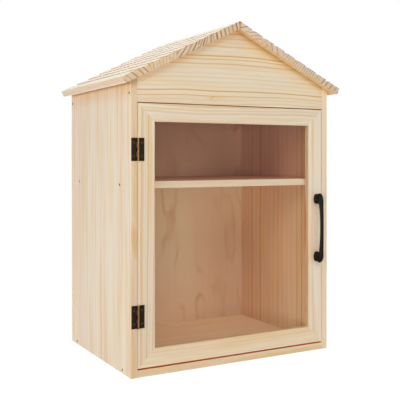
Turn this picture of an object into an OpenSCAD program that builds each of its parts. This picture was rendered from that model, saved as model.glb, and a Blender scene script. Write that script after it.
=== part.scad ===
// Book cabinet: a small pine house on a flat base, with a gable roof, one fixed shelf and a glazed door.
// The door hangs on two surface butt hinges at its left and opens forward. All sizes are millimetres.
// Origin: centre of the footprint, on the ground. +X right, +Y to the back, +Z up.

/* [Cabinet] */
// Outer width across the two side panels
cabinet_w = 404; // [340:1:480]
// Outer depth of the side panels
cabinet_d = 290; // [240:1:340]
// Height of a side panel at its outer face, where the roof lies on it
wall_h = 488; // [440:1:560]
// Thickness of the side panels
side_t = 12; // [10:0.5:18]
// Thickness of the bottom board
bottom_t = 12; // [10:0.5:18]
// Thickness of the back panel
back_t = 6; // [4:0.5:9]
// Small flat on the long edges of the boards
arris = 0.4; // [0.2:0.1:1]

/* [Shelf] */
// Thickness of the shelf
shelf_t = 12; // [10:0.5:18]
// Height of the shelf's underside
shelf_z = 310; // [150:1:350]
// Space between the back of the door and the front edge of the shelf
shelf_gap = 2; // [1:0.5:20]

/* [Gables] */
// Thickness of the front and rear gable boards
gable_t = 12; // [10:0.5:18]
// How far a gable board reaches down below the top of the wall
gable_drop = 35; // [25:1:60]

/* [Roof] */
// Slope of the roof in degrees
roof_pitch = 26; // [20:0.5:32]
// Thickness of a roof panel
roof_t = 12; // [10:0.5:16]
// How far the eave reaches out past the wall, measured level
eave_overhang = 19.5; // [10:0.5:40]
// How far the roof reaches out past the front
front_overhang = 13; // [4:0.5:40]
// How far the roof reaches out past the back
rear_overhang = 5; // [2:0.5:40]
// Distance from the ridge to the first step, along the slope
first_course = 27.8; // [15:0.1:40]
// Distance from one step to the next, along the slope
course_pitch = 26.2; // [16:0.1:40]
// Drop at each step
course_step = 2.2; // [0.8:0.1:3.5]
// Length of the ramp that rises again below each step
course_ramp = 8.5; // [4:0.1:14]
// Least plain strip left above the eave, along the slope
eave_strip = 20; // [10:1:30]
// Rounding flat on the lower edge of the eave
eave_ease = 1.2; // [0.4:0.1:3]

/* [Door] */
// Thickness of the door frame
door_t = 12; // [10:0.5:16]
// Width of the stiles and rails
frame_w = 30.5; // [24:0.5:45]
// Space between the door and the side panels
gap_side = 0.8; // [0.6:0.1:2]
// Space between the door and the front gable board
gap_top = 1.5; // [0.5:0.1:4]
// Space between the door and the bottom board
gap_bottom = 2.5; // [0.5:0.1:5]
// Thickness of the wood in front of the pane
lip_t = 7.5; // [5:0.1:8]
// Width of the rebate that holds the pane
rebate_w = 8; // [6:0.5:10]
// Thickness of the clear pane
pane_t = 2; // [1.5:0.1:2.5]
// Space between the edges of the pane and the rebate
pane_gap = 0.8; // [0.3:0.1:1.5]
// Space between a glazing bead and the wall of the rebate
bead_gap = 0.1; // [0.05:0.05:0.3]
// How far the bead stays back behind the edge of the lip
bead_back = 0.6; // [0.2:0.1:1.5]

/* [Hinges] */
// Height of a hinge
hinge_h = 38; // [30:1:60]
// Reach of one leaf from the pin
leaf_reach = 11.6; // [10.5:0.1:12]
// Thickness of a leaf
leaf_t = 1; // [0.8:0.1:1.5]
// Diameter of the knuckles
knuckle_d = 3.6; // [3.2:0.1:5]
// Knuckles in one hinge, always odd
knuckle_count = 5; // [3:2:7]
// Space between neighbouring knuckles
knuckle_gap = 0.2; // [0.1:0.05:0.4]
// Space between a knuckle and the wood or the other leaf
knuckle_clear = 0.3; // [0.2:0.05:0.6]
// Diameter of the hinge pin
pin_d = 1.8; // [1.5:0.1:2.2]
// Height of the button at each end of the pin
pin_button_h = 1.2; // [0.8:0.1:2]
// Distance from the top of the door to the middle of the upper hinge
hinge_from_top = 76.5; // [40:0.5:120]
// Distance from the bottom of the door to the middle of the lower hinge
hinge_from_bottom = 85.5; // [40:0.5:120]
// Distance between the two screws of a leaf
leaf_screw_pitch = 22; // [16:1:24]
// Distance from the outer edge of a leaf to its screws
leaf_screw_inset = 4.6; // [4:0.1:5]

/* [Pull handle] */
// Distance between the middles of the two feet
handle_span = 108; // [76:1:128]
// How far the middle of the handle lies below the middle of the door
handle_drop = 3; // [-60:1:60]
// Distance from the free edge of the door to the handle
handle_inset = 12.5; // [8:0.5:16]
// Height of a foot at the door
foot_h = 18.8; // [14:0.1:24]
// Width of a foot at the door
foot_w = 12; // [9:0.1:14]
// Height of the round lobe in front of a foot
lobe_h = 20.3; // [16:0.1:26]
// Diameter of the bar at its ends
bar_end_d = 8.6; // [6:0.1:10]
// Diameter of the bar in the middle
bar_mid_d = 6.5; // [5:0.1:9]
// Distance from the door to the axis of the bar at its ends
bar_reach_end = 15.4; // [12:0.1:20]
// Distance from the door to the axis of the bar in the middle
bar_reach_mid = 17.5; // [12:0.1:24]

/* [Magnetic catch] */
// Distance from the top of the door to the middle of the catch
catch_from_top = 50; // [36:1:110]
// Height of the catch housing with its ears
catch_h = 44; // [38:1:60]
// Height of the thick middle of the housing
catch_core_h = 24; // [18:1:28]
// How far the housing stands out from the side panel
catch_w = 11; // [9:0.5:14]
// Depth of the housing
catch_d = 14; // [12:0.5:18]
// Thickness of the ears
catch_ear_t = 2.5; // [2:0.1:4]
// Space between the pole plates and the strike plate
catch_gap = 0.3; // [0.1:0.05:1]
// Thickness of a steel pole plate
pole_t = 1; // [0.8:0.1:1.5]
// Thickness of the magnet between the pole plates
magnet_t = 4; // [3:0.1:5]
// How far the pole plates stand out of the housing
pole_proud = 0.6; // [0.3:0.1:1.5]
// Thickness of the strike plate
strike_t = 1; // [0.8:0.1:1.5]
// Width of the strike plate
strike_w = 11; // [9:0.5:13]
// Height of the strike plate
strike_h = 34; // [30:1:50]

/* [Nails and screws] */
// Diameter of a nail shank
nail_d = 1.8; // [1.4:0.1:2.4]
// Diameter of a nail head
nail_head_d = 3.8; // [2.6:0.1:4.5]
// Height of a nail head
nail_head_h = 1.2; // [0.8:0.1:2]
// How far a nail head is set below the wood
nail_set = 0.8; // [0.2:0.1:1.2]
// Length of a nail
nail_l = 32; // [25:1:45]
// Distance from the front of the cabinet to the front nails of the bottom board
bottom_nail_front = 36; // [20:1:80]
// Distance from the back of the cabinet to the rear nails of the bottom board
bottom_nail_rear = 32; // [20:1:80]
// Distance from the front of the cabinet to the front nails of the shelf
shelf_nail_front = 47; // [40:1:90]
// Distance from the back of the cabinet to the rear nails of the shelf
shelf_nail_rear = 45; // [20:1:90]
// Height of the gable nails above the lower edge of a gable board
gable_nail_rise = 14.5; // [8:0.5:20]
// Nails in one row of the back panel
back_nail_count = 4; // [3:1:6]
// Distance from the inner face of a side panel to the first nail of a row
back_nail_inset = 40; // [20:1:80]
// Length of a back panel nail
back_nail_l = 20; // [15:1:30]
// Diameter of a bead pin
bead_pin_d = 1; // [0.8:0.1:1.2]
// Length of a bead pin
bead_pin_l = 14; // [12:0.5:18]
// Distance from the end of a bead to its pins
bead_pin_inset = 40; // [25:1:80]
// Space round a nail, pin or screw in its hole
hole_gap = 0.05; // [0.02:0.01:0.1]
// Diameter of a small wood screw
screw_d = 2.4; // [2:0.1:2.8]
// Diameter of a small screw head
screw_head_d = 4.8; // [4:0.1:5.2]
// Length of a small screw under the face it is driven into
screw_l = 8.5; // [6:0.5:9]
// Diameter of the two handle screws
handle_screw_d = 4; // [3:0.5:5]
// Diameter of their pan heads
handle_head_d = 8; // [6:0.5:9]
// Height of their pan heads
handle_head_h = 2.4; // [1.8:0.1:3]
// How deep they go into the feet
handle_screw_grip = 7; // [5:0.5:8]

/* [Hidden] */
$fn = 48;

pine = [0.86, 0.77, 0.64];
pine_inside = [0.80, 0.68, 0.53];
plywood = [0.78, 0.65, 0.50];
bronze = [0.28, 0.22, 0.15];
brass = [0.78, 0.62, 0.32];
black_iron = [0.12, 0.11, 0.11];
nail_steel = [0.36, 0.31, 0.27];

// Cabinet planes
front_y = -cabinet_d / 2;
back_y = cabinet_d / 2;
left_x = -cabinet_w / 2;
inner_w = cabinet_w - 2 * side_t;
inner_left = -inner_w / 2;
inner_right = inner_w / 2;
inner_back = back_y - back_t;
gable_z = wall_h - gable_drop;
ridge_under_z = wall_h + cabinet_w / 2 * tan(roof_pitch);
inner_wall_h = wall_h + side_t * tan(roof_pitch);

// Roof
ridge_z = ridge_under_z + roof_t / cos(roof_pitch);
slope_l = (cabinet_w / 2 + eave_overhang) / cos(roof_pitch);
roof_l = cabinet_d + front_overhang + rear_overhang;
course_count = floor((slope_l - eave_strip - course_ramp - first_course) / course_pitch) + 1;
roof_nail_courses = [1, course_count - 3];

// Door
door_w = inner_w - 2 * gap_side;
door_z = bottom_t + gap_bottom;
door_h = gable_z - gap_top - door_z;
door_left = -door_w / 2;
door_right = door_w / 2;
door_back = front_y + door_t;
door_mid_z = door_z + door_h / 2;
glass_w = door_w - 2 * (frame_w - rebate_w);
glass_h = door_h - 2 * (frame_w - rebate_w);
bead_t = door_t - lip_t - pane_t;
bead_w = rebate_w - bead_gap - bead_back;
bead_y = front_y + lip_t + pane_t;

// Hinges
pin_x = inner_left + gap_side / 2;
pin_out = knuckle_d / 2 + knuckle_clear;
pin_y = front_y - pin_out;
notch = knuckle_d / 2 + knuckle_clear;
knuckle_l = (hinge_h - (knuckle_count - 1) * knuckle_gap) / knuckle_count;
upper_hinge_z = door_z + door_h - hinge_from_top;
lower_hinge_z = door_z + hinge_from_bottom;
leaf_screw_x = leaf_reach - leaf_screw_inset;

// Handle
handle_x = door_right - handle_inset;
handle_z = door_mid_z - handle_drop;
handle_corner = 1;
fan_out = bar_reach_end - bar_end_d / 2 - handle_corner;
fan_z = handle_span / 2 - foot_h / 2 - handle_corner;
lobe_far = lobe_h + handle_corner;
bar_far = bar_end_d + handle_corner;
foot_waist = 0.86;
section_sides = 20;

// Catch
catch_z = door_z + door_h - catch_from_top;
strike_y = door_back + strike_t;
catch_front = strike_y + catch_gap + pole_proud;
catch_screw_z = (catch_h + catch_core_h) / 4;
strike_x = inner_right - catch_w / 2 - gap_side;
strike_screw_z = strike_h / 2 - screw_head_d / 2 - 2;

// A rectangle from the origin with small flats at its corners
module eased_rect(w, d, e) {
    polygon([
        [e, 0], [w - e, 0], [w, e], [w, d - e],
        [w - e, d], [e, d], [0, d - e], [0, e]
    ]);
}

// A board that runs along X, its long edges eased
module board_x(l, d, t) {
    rotate([90, 0, 90])
        linear_extrude(height = l)
            eased_rect(d, t, arris);
}

// Stands a shape drawn in X and Z upright, and makes it thick towards the back
module upright(t) {
    translate([0, t, 0])
        rotate([90, 0, 0])
            linear_extrude(height = t)
                children();
}

// A nail along +Z, its head's top at z = -nail_set, pointing down
module nail(l, grow = 0) {
    head_top = grow > 0 ? 1 : -nail_set;
    translate([0, 0, -nail_set - nail_head_h])
        cylinder(d = nail_head_d + 2 * grow, h = nail_head_h + nail_set + head_top);
    translate([0, 0, -l - grow])
        cylinder(d = nail_d + 2 * grow, h = l - nail_set - nail_head_h / 2 + grow);
}

// A countersunk screw that points down, its head's top at z = 0
module countersunk_screw(l, grow = 0) {
    head_h = (screw_head_d - screw_d) / 2;
    rotate_extrude()
        polygon([
            [0, -l - grow], [screw_d / 2 + grow, -l - grow], [screw_d / 2 + grow, -head_h],
            [screw_head_d / 2 + grow, 0], [screw_head_d / 2 + grow, grow], [0, grow]
        ]);
}

// The cross recess of a screw head
module cross_recess() {
    for (a = [0, 90])
        rotate([0, 0, a])
            translate([-screw_head_d * 0.28, -0.3, -0.7])
                cube([screw_head_d * 0.56, 0.6, 1]);
}

// Nails of the bottom board, one side, drawn for the left wall and pointing to +X
module bottom_nail_row(grow = 0) {
    for (y = [front_y + bottom_nail_front, back_y - bottom_nail_rear])
        translate([left_x, y, bottom_t / 2])
            rotate([0, -90, 0])
                nail(nail_l, grow);
}

module shelf_nail_row(grow = 0) {
    for (y = [front_y + shelf_nail_front, back_y - shelf_nail_rear])
        translate([left_x, y, shelf_z + shelf_t / 2])
            rotate([0, -90, 0])
                nail(nail_l, grow);
}

module gable_nail_row(grow = 0) {
    for (y = [front_y + gable_t / 2, back_y - gable_t / 2])
        translate([left_x, y, gable_z + gable_nail_rise])
            rotate([0, -90, 0])
                nail(nail_l, grow);
}

// Nails of the right roof panel, square to the slope and down into the gable boards
module roof_nail_row(grow = 0) {
    for (k = roof_nail_courses)
        for (y = [front_y + gable_t / 2, back_y - gable_t / 2])
            translate([0, y, ridge_z])
                rotate([0, roof_pitch, 0])
                    translate([first_course + k * course_pitch + (course_ramp + course_pitch) / 2, 0, 0])
                        nail(nail_l, grow);
}

// Nails through the back panel into the bottom board and the shelf
module back_nail_grid(grow = 0) {
    step = (inner_w - 2 * back_nail_inset) / (back_nail_count - 1);
    for (z = [bottom_t / 2, shelf_z + shelf_t / 2])
        for (i = [0:back_nail_count - 1])
            translate([inner_left + back_nail_inset + i * step, back_y, z])
                rotate([-90, 0, 0])
                    nail(back_nail_l, grow);
}

module both_sides() {
    children();
    mirror([1, 0, 0])
        children();
}

// The left side panel as a solid board with its top cut to the slope of the roof
module side_board() {
    intersection() {
        translate([left_x, front_y, 0])
            upright(cabinet_d)
                polygon([[0, 0], [side_t, 0], [side_t, inner_wall_h], [0, wall_h]]);
        translate([left_x, front_y, 0])
            linear_extrude(height = inner_wall_h)
                eased_rect(side_t, cabinet_d, arris);
    }
}

module side_with_nail_holes() {
    difference() {
        side_board();
        bottom_nail_row(hole_gap);
        shelf_nail_row(hole_gap);
        gable_nail_row(hole_gap);
    }
}

module left_side_panel() {
    color(pine)
        difference() {
            side_with_nail_holes();
            frame_leaf_screw_set(upper_hinge_z, hole_gap);
            frame_leaf_screw_set(lower_hinge_z, hole_gap);
        }
}

module right_side_panel() {
    color(pine)
        difference() {
            mirror([1, 0, 0])
                side_with_nail_holes();
            catch_screw_set(hole_gap);
        }
}

module bottom_board() {
    color(pine_inside)
        difference() {
            translate([inner_left, front_y, 0])
                board_x(inner_w, inner_back - front_y, bottom_t);
            both_sides()
                bottom_nail_row(hole_gap);
            back_nail_grid(hole_gap);
        }
}

module shelf() {
    color(pine_inside)
        difference() {
            translate([inner_left, door_back + shelf_gap, shelf_z])
                board_x(inner_w, inner_back - door_back - shelf_gap, shelf_t);
            both_sides()
                shelf_nail_row(hole_gap);
            back_nail_grid(hole_gap);
        }
}

module back_panel() {
    color(plywood)
        difference() {
            translate([inner_left, inner_back, 0])
                cube([inner_w, back_t, gable_z]);
            back_nail_grid(hole_gap);
        }
}

// A gable board, its face at y = 0, with the roof's underside as its top edges
module gable_board() {
    upright(gable_t)
        polygon([
            [inner_left, gable_z], [inner_right, gable_z],
            [inner_right, inner_wall_h], [0, ridge_under_z], [inner_left, inner_wall_h]
        ]);
}

module front_gable_board() {
    color(pine)
        difference() {
            translate([0, front_y, 0])
                gable_board();
            both_sides() {
                gable_nail_row(hole_gap);
                roof_nail_row(hole_gap);
            }
        }
}

module rear_gable_board() {
    color(pine)
        difference() {
            translate([0, back_y - gable_t, 0])
                gable_board();
            both_sides() {
                gable_nail_row(hole_gap);
                roof_nail_row(hole_gap);
            }
        }
}

// A point of the right roof slope: s along the slope from the ridge, d below its top
function slope_point(s, d) = [
    s * cos(roof_pitch) - d * sin(roof_pitch),
    ridge_z - s * sin(roof_pitch) - d * cos(roof_pitch)
];

// The section of a roof panel: plumb cut at the ridge, a step and a ramp at each course, square eave
module roof_section() {
    steps = [
        for (k = [0:course_count - 1])
            let (s = first_course + k * course_pitch)
                for (p = [[s, 0], [s, course_step], [s + course_ramp, 0]])
                    slope_point(p[0], p[1])
    ];
    polygon(concat(
        [slope_point(0, 0)],
        steps,
        [
            slope_point(slope_l - arris, 0),
            slope_point(slope_l, arris),
            slope_point(slope_l, roof_t - eave_ease),
            slope_point(slope_l - eave_ease, roof_t),
            slope_point(roof_t * tan(roof_pitch), roof_t)
        ]
    ));
}

module roof_panel() {
    difference() {
        translate([0, front_y - front_overhang, 0])
            upright(roof_l)
                roof_section();
        roof_nail_row(hole_gap);
    }
}

module right_roof_panel() {
    color(pine)
        roof_panel();
}

module left_roof_panel() {
    color(pine)
        mirror([1, 0, 0])
            roof_panel();
}

module bottom_nails() {
    color(nail_steel)
        both_sides()
            bottom_nail_row();
}

module shelf_nails() {
    color(nail_steel)
        both_sides()
            shelf_nail_row();
}

module gable_nails() {
    color(nail_steel)
        both_sides()
            gable_nail_row();
}

module roof_nails() {
    color(nail_steel)
        both_sides()
            roof_nail_row();
}

module back_nails() {
    color(nail_steel)
        back_nail_grid();
}

// Door frame: one mitred member along +Z, its outer edge at x = 0 and its face at y = 0
module frame_member(l) {
    intersection() {
        linear_extrude(height = l)
            polygon([
                [arris, 0], [frame_w - arris, 0], [frame_w, arris], [frame_w, lip_t],
                [frame_w - rebate_w, lip_t], [frame_w - rebate_w, door_t],
                [arris, door_t], [0, door_t - arris], [0, arris]
            ]);
        upright(door_t)
            polygon([[0, 0], [frame_w, frame_w], [frame_w, l - frame_w], [0, l]]);
    }
}

// A mitred glazing bead along +Z, its outer edge at x = 0 and its face on the pane at y = 0
module bead_member(l) {
    intersection() {
        linear_extrude(height = l)
            polygon([[0, 0], [bead_w, 0], [bead_w, bead_t - arris], [bead_w - arris, bead_t], [0, bead_t]]);
        upright(bead_t)
            polygon([[0, 0], [bead_w, bead_w], [bead_w, l - bead_w], [0, l]]);
    }
}

// Puts a member, drawn upright at the left, on side 0 left, 1 right, 2 top or 3 bottom of a w by h frame
module on_frame_side(side, w, h) {
    if (side == 0)
        translate([-w / 2, 0, 0])
            children();
    if (side == 1)
        mirror([1, 0, 0])
            translate([-w / 2, 0, 0])
                children();
    if (side == 2)
        translate([-w / 2, 0, h])
            rotate([0, 90, 0])
                children();
    if (side == 3)
        translate([w / 2, 0, 0])
            rotate([0, -90, 0])
                children();
}

module door_member(side) {
    translate([0, front_y, door_z])
        on_frame_side(side, door_w, door_h)
            frame_member(side < 2 ? door_h : door_w);
}

// One bead on its side of the door; the beads fill a frame one bead gap inside the rebate
module door_bead(side) {
    w = glass_w - 2 * bead_gap;
    h = glass_h - 2 * bead_gap;
    translate([0, bead_y, door_mid_z - h / 2])
        on_frame_side(side, w, h)
            bead_member(side < 2 ? h : w);
}

// Two pins of one bead, driven through it into the door frame
module bead_pin_pair(side, grow = 0) {
    w = glass_w - 2 * bead_gap;
    h = glass_h - 2 * bead_gap;
    l = side < 2 ? h : w;
    translate([0, bead_y, door_mid_z - h / 2])
        on_frame_side(side, w, h)
            for (z = [bead_pin_inset, l - bead_pin_inset])
                translate([bead_w - bead_pin_l - grow, bead_t / 2, z])
                    rotate([0, 90, 0])
                        cylinder(d = bead_pin_d + 2 * grow, h = bead_pin_l + 2 * grow);
}

module door_hinge_stile() {
    color(pine)
        difference() {
            door_member(0);
            bead_pin_pair(0, hole_gap);
            door_leaf_screw_set(upper_hinge_z, hole_gap);
            door_leaf_screw_set(lower_hinge_z, hole_gap);
        }
}

module door_handle_stile() {
    color(pine)
        difference() {
            door_member(1);
            bead_pin_pair(1, hole_gap);
            handle_screw_pair(hole_gap);
            strike_screw_set(hole_gap);
        }
}

module door_top_rail() {
    color(pine)
        difference() {
            door_member(2);
            bead_pin_pair(2, hole_gap);
        }
}

module door_bottom_rail() {
    color(pine)
        difference() {
            door_member(3);
            bead_pin_pair(3, hole_gap);
        }
}

module door_pane() {
    w = glass_w - 2 * pane_gap;
    h = glass_h - 2 * pane_gap;
    color([0.85, 0.9, 0.9, 0.35])
        translate([-w / 2, front_y + lip_t, door_mid_z - h / 2])
            cube([w, pane_t, h]);
}

module pinned_bead(side) {
    color(pine)
        difference() {
            door_bead(side);
            bead_pin_pair(side, hole_gap);
        }
}

module left_bead() {
    pinned_bead(0);
}

module right_bead() {
    pinned_bead(1);
}

module top_bead() {
    pinned_bead(2);
}

module bottom_bead() {
    pinned_bead(3);
}

module bead_pins() {
    color(nail_steel)
        for (side = [0:3])
            bead_pin_pair(side);
}

// Bottom of knuckle i, counted from the lower end of a hinge that is centred on z = 0
function knuckle_z(i) = -hinge_h / 2 + i * (knuckle_l + knuckle_gap);

// One leaf, its pin on the Z axis and its plate towards +X, with the knuckles first, first + 2 and so on
module hinge_leaf(first) {
    difference() {
        union() {
            translate([notch, pin_out - leaf_t, -hinge_h / 2])
                cube([leaf_reach - notch, leaf_t, hinge_h]);
            for (i = [first:2:knuckle_count - 1])
                translate([0, 0, knuckle_z(i)]) {
                    cylinder(d = knuckle_d, h = knuckle_l);
                    translate([0, pin_out - leaf_t, 0])
                        cube([notch + 0.01, leaf_t, knuckle_l]);
                }
        }
        translate([0, 0, -hinge_h])
            cylinder(d = pin_d + 2 * hole_gap, h = 2 * hinge_h);
        leaf_screws(hole_gap);
    }
}

// The two screws of a leaf that has its pin on the Z axis
module leaf_screws(grow = 0) {
    for (z = [-leaf_screw_pitch / 2, leaf_screw_pitch / 2])
        translate([leaf_screw_x, pin_out - leaf_t, z])
            rotate([90, 0, 0])
                countersunk_screw(screw_l + leaf_t, grow);
}

// Screws with their recesses, for a leaf that has its pin on the Z axis
module leaf_screws_finished() {
    difference() {
        leaf_screws();
        for (z = [-leaf_screw_pitch / 2, leaf_screw_pitch / 2])
            translate([leaf_screw_x, pin_out - leaf_t, z])
                rotate([90, 0, 0])
                    cross_recess();
    }
}

module at_hinge(z) {
    translate([pin_x, pin_y, z])
        children();
}

module frame_leaf_screw_set(z, grow = 0) {
    at_hinge(z)
        mirror([1, 0, 0])
            leaf_screws(grow);
}

module door_leaf_screw_set(z, grow = 0) {
    at_hinge(z)
        leaf_screws(grow);
}

module frame_leaf(z) {
    color(bronze)
        at_hinge(z)
            mirror([1, 0, 0])
                hinge_leaf(0);
}

module door_leaf(z) {
    color(bronze)
        at_hinge(z)
            hinge_leaf(1);
}

// The pin with a low domed button at each end
module hinge_pin(z) {
    color(brass)
        at_hinge(z)
            rotate_extrude()
                polygon([
                    [0, -hinge_h / 2 - pin_button_h],
                    [knuckle_d * 0.28, -hinge_h / 2 - pin_button_h],
                    [knuckle_d / 2, -hinge_h / 2 - pin_button_h / 2],
                    [knuckle_d / 2, -hinge_h / 2],
                    [pin_d / 2, -hinge_h / 2],
                    [pin_d / 2, hinge_h / 2],
                    [knuckle_d / 2, hinge_h / 2],
                    [knuckle_d / 2, hinge_h / 2 + pin_button_h / 2],
                    [knuckle_d * 0.28, hinge_h / 2 + pin_button_h],
                    [0, hinge_h / 2 + pin_button_h]
                ]);
}

module upper_frame_leaf() {
    frame_leaf(upper_hinge_z);
}

module lower_frame_leaf() {
    frame_leaf(lower_hinge_z);
}

module upper_door_leaf() {
    door_leaf(upper_hinge_z);
}

module lower_door_leaf() {
    door_leaf(lower_hinge_z);
}

module upper_hinge_pin() {
    hinge_pin(upper_hinge_z);
}

module lower_hinge_pin() {
    hinge_pin(lower_hinge_z);
}

module frame_leaf_screws() {
    color(bronze)
        for (z = [upper_hinge_z, lower_hinge_z])
            at_hinge(z)
                mirror([1, 0, 0])
                    leaf_screws_finished();
}

module door_leaf_screws() {
    color(bronze)
        for (z = [upper_hinge_z, lower_hinge_z])
            at_hinge(z)
                leaf_screws_finished();
}

// Handle: a section at distance out from the door and height z, turned by tilt from level to upright.
// across is its half width, thick its half thickness and square its squareness, where 2 is an ellipse.
function section(out, z, tilt, across, thick, square) = [
    for (i = [0:section_sides - 1])
        let (
            t = 360 * i / section_sides,
            u = across * sign(cos(t)) * pow(abs(cos(t)), 2 / square),
            v = thick * sign(sin(t)) * pow(abs(sin(t)), 2 / square)
        )
        [u, -(out + v * sin(tilt)), z + v * cos(tilt)]
];

// Distance from the inner corner to the outside of the lobe, at an angle from level to upright
function lobe_reach(tilt) = 1 / sqrt(pow(sin(tilt) / bar_far, 2) + pow(cos(tilt) / lobe_far, 2));

// One section of the lobe, which fans round the inner corner between foot and bar
function lobe_section(tilt) =
    let (
        far = lobe_reach(tilt),
        mid = (far + handle_corner) / 2,
        swell = pow(sin(tilt), 2)
    )
    section(
        fan_out + mid * sin(tilt),
        fan_z + mid * cos(tilt),
        tilt,
        foot_w / 2 * 0.96 * (1 - swell) + bar_end_d / 2 * swell,
        (far - handle_corner) / 2,
        2.5 - 0.5 * swell
    );

// One section of the bar; k runs from 1 at the lobe to 0 in the middle
function bar_section(k, side) =
    let (d = bar_mid_d + (bar_end_d - bar_mid_d) * k * k)
    section(
        bar_reach_mid - (bar_reach_mid - bar_reach_end) * k * k,
        side * fan_z * k,
        90,
        d / 2,
        d / 2,
        2
    );

// One section of the foot, a share of the way from the door to the lobe
function foot_section(share, scale) = section(
    fan_out * share,
    handle_span / 2,
    0,
    foot_w / 2 * scale,
    foot_h / 2 * scale,
    2.6
);

function mirrored(ring) = [
    for (p = ring)
        [p[0], p[1], -p[2]]
];

function backwards(list) = [
    for (i = [len(list) - 1:-1:0])
        list[i]
];

upper_rings = concat(
    [
        foot_section(0, 0.97),
        foot_section(0.06, 1),
        foot_section(0.3, 1),
        foot_section(0.45, 0.95),
        foot_section(0.6, foot_waist),
        foot_section(0.75, 0.92)
    ],
    [
        for (tilt = [0:15:90])
            lobe_section(tilt)
    ],
    [
        for (i = [5:-1:1])
            bar_section(i / 6, 1)
    ]
);

lower_rings = [
    for (ring = backwards(upper_rings))
        mirrored(ring)
];

// Skin over a list of rings with a flat cap at each end
module skin(rings) {
    n = len(rings[0]);
    last = len(rings) - 1;
    points = [
        for (ring = rings)
            for (p = ring)
                p
    ];
    walls = [
        for (r = [0:last - 1])
            for (i = [0:n - 1])
                let (j = (i + 1) % n)
                    for (face = [
                        [r * n + i, r * n + j, (r + 1) * n + j],
                        [r * n + i, (r + 1) * n + j, (r + 1) * n + i]
                    ])
                        face
    ];
    first_cap = [[for (i = [n - 1:-1:0]) i]];
    last_cap = [[for (i = [0:n - 1]) last * n + i]];
    polyhedron(points = points, faces = concat(first_cap, walls, last_cap), convexity = 6);
}

module at_handle() {
    translate([handle_x, front_y, handle_z])
        children();
}

// The two screws that hold the handle from behind the door
module handle_screw_pair(grow = 0) {
    at_handle()
        for (z = [-handle_span / 2, handle_span / 2])
            translate([0, -handle_screw_grip - grow, z])
                rotate([-90, 0, 0])
                    cylinder(d = handle_screw_d + 2 * grow, h = door_t + handle_screw_grip + 2 * grow);
}

module pull_handle() {
    color(black_iron)
        difference() {
            at_handle()
                skin(concat(upper_rings, [bar_section(0, 1)], lower_rings));
            handle_screw_pair(hole_gap);
        }
}

module handle_screws() {
    color(nail_steel) {
        handle_screw_pair();
        at_handle()
            for (z = [-handle_span / 2, handle_span / 2])
                translate([0, door_t, z])
                    rotate([-90, 0, 0])
                        pan_head();
    }
}

// A pan head with a cross recess, its seat at z = 0
module pan_head() {
    r = handle_head_d / 2;
    difference() {
        rotate_extrude()
            polygon([
                [0, 0], [r, 0], [r, handle_head_h * 0.4], [r * 0.92, handle_head_h * 0.7],
                [r * 0.7, handle_head_h * 0.92], [r * 0.4, handle_head_h], [0, handle_head_h]
            ]);
        for (a = [0, 90])
            rotate([0, 0, a])
                translate([-r * 0.5, -0.5, handle_head_h - 1.2])
                    cube([r, 1, 2]);
    }
}

// Magnetic catch on the right wall: drawn at the wall, the poles towards the door
module at_catch() {
    translate([inner_right, catch_front, catch_z])
        children();
}

// Screws through the ears of the housing into the side panel
module catch_screw_set(grow = 0) {
    at_catch()
        for (z = [-catch_screw_z, catch_screw_z])
            translate([-catch_ear_t, catch_d / 2, z])
                rotate([0, -90, 0])
                    countersunk_screw(screw_l + catch_ear_t, grow);
}

// The slot in the housing for the magnet and its two pole plates
module catch_slot_width(w, y, d, h) {
    translate([-catch_w / 2 - w / 2, y, -h / 2])
        cube([w, d, h]);
}

module catch_housing() {
    slot_w = magnet_t + 2 * pole_t + 2 * hole_gap;
    slot_h = catch_core_h - 6;
    color([0.45, 0.30, 0.18])
        difference() {
            at_catch()
                rotate([90, 0, 0])
                    translate([0, 0, -catch_d])
                        linear_extrude(height = catch_d)
                            polygon([
                                [0, -catch_h / 2], [0, catch_h / 2], [-catch_ear_t, catch_h / 2],
                                [-catch_ear_t, catch_core_h / 2 + 1], [-catch_w + 1, catch_core_h / 2],
                                [-catch_w, catch_core_h / 2 - 1], [-catch_w, 1 - catch_core_h / 2],
                                [-catch_w + 1, -catch_core_h / 2], [-catch_ear_t, -catch_core_h / 2 - 1],
                                [-catch_ear_t, -catch_h / 2]
                            ]);
            at_catch()
                catch_slot_width(slot_w, -1, catch_d - 1, slot_h + 2 * hole_gap);
            catch_screw_set(hole_gap);
        }
}

module catch_magnet() {
    color([0.20, 0.20, 0.21])
        at_catch()
            catch_slot_width(magnet_t, 0, catch_d - 2 - hole_gap, catch_core_h - 6);
}

module catch_pole_plates() {
    color([0.70, 0.71, 0.72])
        at_catch()
            for (side = [-1, 1])
                translate([side * (magnet_t + pole_t) / 2, 0, 0])
                    catch_slot_width(pole_t, -pole_proud, catch_d - 2 - hole_gap + pole_proud, catch_core_h - 6);
}

module catch_screws() {
    color(nail_steel)
        difference() {
            catch_screw_set();
            at_catch()
                for (z = [-catch_screw_z, catch_screw_z])
                    translate([-catch_ear_t, catch_d / 2, z])
                        rotate([0, -90, 0])
                            cross_recess();
        }
}

// Screws of the strike plate, driven into the back of the handle stile
module strike_screw_set(grow = 0) {
    for (z = [-strike_screw_z, strike_screw_z])
        translate([strike_x, strike_y, catch_z + z])
            rotate([-90, 0, 0])
                countersunk_screw(screw_l - 1 + strike_t, grow);
}

module strike_plate() {
    color([0.70, 0.71, 0.72])
        difference() {
            translate([strike_x - strike_w / 2, door_back, catch_z - strike_h / 2])
                rotate([90, 0, 0])
                    mirror([0, 0, 1])
                        linear_extrude(height = strike_t)
                            eased_rect(strike_w, strike_h, 1);
            strike_screw_set(hole_gap);
        }
}

module strike_screws() {
    color(nail_steel)
        difference() {
            strike_screw_set();
            for (z = [-strike_screw_z, strike_screw_z])
                translate([strike_x, strike_y, catch_z + z])
                    rotate([-90, 0, 0])
                        cross_recess();
        }
}

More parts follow.
